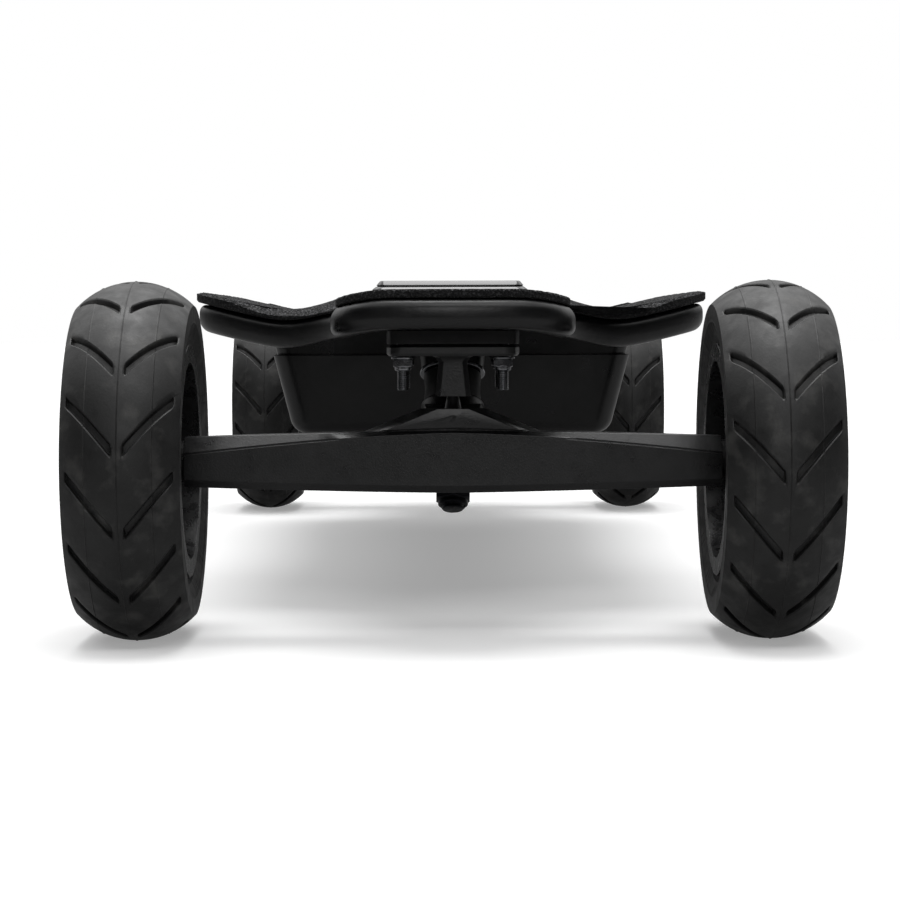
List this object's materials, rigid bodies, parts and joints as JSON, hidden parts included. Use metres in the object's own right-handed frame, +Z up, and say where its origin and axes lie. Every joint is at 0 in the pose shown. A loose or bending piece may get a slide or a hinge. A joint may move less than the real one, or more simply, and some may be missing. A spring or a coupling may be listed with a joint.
{
  "type": "electric mountainboard",
  "caption": "Long four-wheeled all-terrain board with a battery tub under its deck, leaning trucks and treaded air tyres, the rear pair with hub motors.",
  "frame": {"origin": "on the ground under the middle of the board", "axes": "+Y towards the tail along the length, +Z up, -X is the left side as seen from the nose"},
  "size_m": [0.3116, 0.9999, 0.157],
  "materials": {
    "carbon": "satin black moulded composite",
    "foam": "gritty black foam grip",
    "gloss": "polished black plastic",
    "casting": "satin black powder coat",
    "steel": "zinc plated",
    "black_steel": "black oxide",
    "rubber": "satin black rubber",
    "urethane": "smooth black urethane",
    "plastic": "glass filled nylon",
    "wrap": "blue shrink wrap",
    "copper": "enamelled windings on a steel core"
  },
  "bodies": {
    "deck": {"deck_shell": "carbon", "front_grip": "foam", "rear_grip": "foam", "top_hatch": "gloss", "hatch_gasket": "urethane", "battery_tub": "carbon", "battery_pack": "wrap", "motor_controller": "casting", "charge_port": "plastic", "front_riser": "urethane", "front_baseplate": "casting", "front_pivot_cup": "urethane", "front_kingpin": "black_steel", "front_kingpin_nut": "black_steel", "front_board_washer": "steel", "front_board_bushing": "urethane", "front_road_bushing": "urethane", "front_road_washer": "black_steel", "front_bolt_outer_left": "steel", "front_bolt_outer_right": "steel", "front_bolt_inner_left": "steel", "front_bolt_inner_right": "steel", "rear_riser": "urethane", "rear_baseplate": "casting", "rear_pivot_cup": "urethane", "rear_kingpin": "black_steel", "rear_kingpin_nut": "black_steel", "rear_board_washer": "steel", "rear_board_bushing": "urethane", "rear_road_bushing": "urethane", "rear_road_washer": "black_steel", "rear_bolt_outer_left": "steel", "rear_bolt_outer_right": "steel", "rear_bolt_inner_left": "steel", "rear_bolt_inner_right": "steel"},
    "front_truck": {"front_hanger": "casting", "front_axle": "steel", "front_left_axle_nut": "steel", "front_right_axle_nut": "steel"},
    "rear_truck": {"rear_hanger": "casting", "rear_axle": "steel", "rear_left_stator": "copper", "rear_left_axle_nut": "steel", "rear_right_stator": "copper", "rear_right_axle_nut": "steel"},
    "power_button": {"power_button": "gloss"},
    "front_left_wheel": {"front_left_tyre": "rubber", "front_left_rim": "plastic", "front_left_inner_bearing": "steel", "front_left_outer_bearing": "steel"},
    "front_right_wheel": {"front_right_tyre": "rubber", "front_right_rim": "plastic", "front_right_inner_bearing": "steel", "front_right_outer_bearing": "steel"},
    "rear_left_wheel": {"rear_left_tyre": "rubber", "rear_left_motor_can": "casting", "rear_left_motor_cover": "casting"},
    "rear_right_wheel": {"rear_right_tyre": "rubber", "rear_right_motor_can": "casting", "rear_right_motor_cover": "casting"}
  },
  "joints": [
    {"name": "front_lean", "type": "hinge", "parent": "deck", "child": "front_truck", "pos_m": [0, -0.393, 0.0892], "axis": [0, 0.9272, -0.3746], "range_deg": [-12, 12], "stiffness_Nm_per_rad": 60, "deforming": ["front_board_bushing", "front_road_bushing"]},
    {"name": "rear_lean", "type": "hinge", "parent": "deck", "child": "rear_truck", "pos_m": [0, 0.393, 0.0892], "axis": [0, 0.9272, 0.3746], "range_deg": [-12, 12], "stiffness_Nm_per_rad": 60, "deforming": ["rear_board_bushing", "rear_road_bushing"]},
    {"name": "front_left_spin", "type": "hinge", "parent": "front_truck", "child": "front_left_wheel", "pos_m": [-0.132, -0.425, 0.075], "axis": [1, 0, 0], "continuous": true},
    {"name": "front_right_spin", "type": "hinge", "parent": "front_truck", "child": "front_right_wheel", "pos_m": [0.132, -0.425, 0.075], "axis": [1, 0, 0], "continuous": true},
    {"name": "rear_left_spin", "type": "hinge", "parent": "rear_truck", "child": "rear_left_wheel", "pos_m": [-0.132, 0.425, 0.075], "axis": [1, 0, 0], "continuous": true},
    {"name": "rear_right_spin", "type": "hinge", "parent": "rear_truck", "child": "rear_right_wheel", "pos_m": [0.132, 0.425, 0.075], "axis": [1, 0, 0], "continuous": true},
    {"name": "power_button_press", "type": "slide", "parent": "deck", "child": "power_button", "axis": [0, -1, 0], "range_m": [0, 0.0012], "stiffness_N_per_m": 600}
  ]
}
